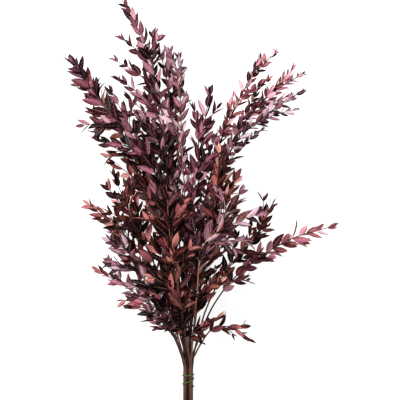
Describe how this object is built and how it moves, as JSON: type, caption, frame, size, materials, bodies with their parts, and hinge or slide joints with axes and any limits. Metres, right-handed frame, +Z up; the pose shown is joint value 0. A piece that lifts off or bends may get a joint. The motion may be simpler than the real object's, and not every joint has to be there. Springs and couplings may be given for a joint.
{
  "type": "bunch of dried eucalyptus",
  "caption": "Tied bunch of dried, dyed small-leaved eucalyptus branches, lying on its side, its leafy sprays fanning out from bare stems.",
  "frame": {"origin": "middle of the bunch's outline, on the surface that it lies on", "axes": "+Y along the bunch from the cut ends to the tips, +X to the right as seen from above with the tips away, +Z up"},
  "size_m": [0.3986, 0.6232, 0.1352],
  "materials": {
    "plum_leaves": "matt, dyed and dried",
    "dark_leaves": "matt, dyed and dried",
    "mauve_leaves": "matt, dyed and dried",
    "rust_leaves": "matt, dyed and dried",
    "rose_leaves": "matt, dyed and dried",
    "stem_bark": "dry smooth bark",
    "tie_twine": "dull twisted twine"
  },
  "bodies": {
    "root": {"branch_01": "plum_leaves", "branch_02": "plum_leaves", "branch_03": "mauve_leaves", "branch_04": "plum_leaves", "branch_05": "rust_leaves", "branch_06": "plum_leaves", "branch_07": "rose_leaves", "branch_08": "rose_leaves", "branch_09": "mauve_leaves", "branch_10": "rust_leaves", "branch_11": "mauve_leaves", "branch_12": "dark_leaves", "branch_13": "rose_leaves", "branch_14": "dark_leaves", "branch_15": "dark_leaves", "branch_16": "rust_leaves", "branch_17": "mauve_leaves", "branch_18": "rose_leaves", "branch_19": "dark_leaves", "tie": "tie_twine"}
  },
  "joints": []
}
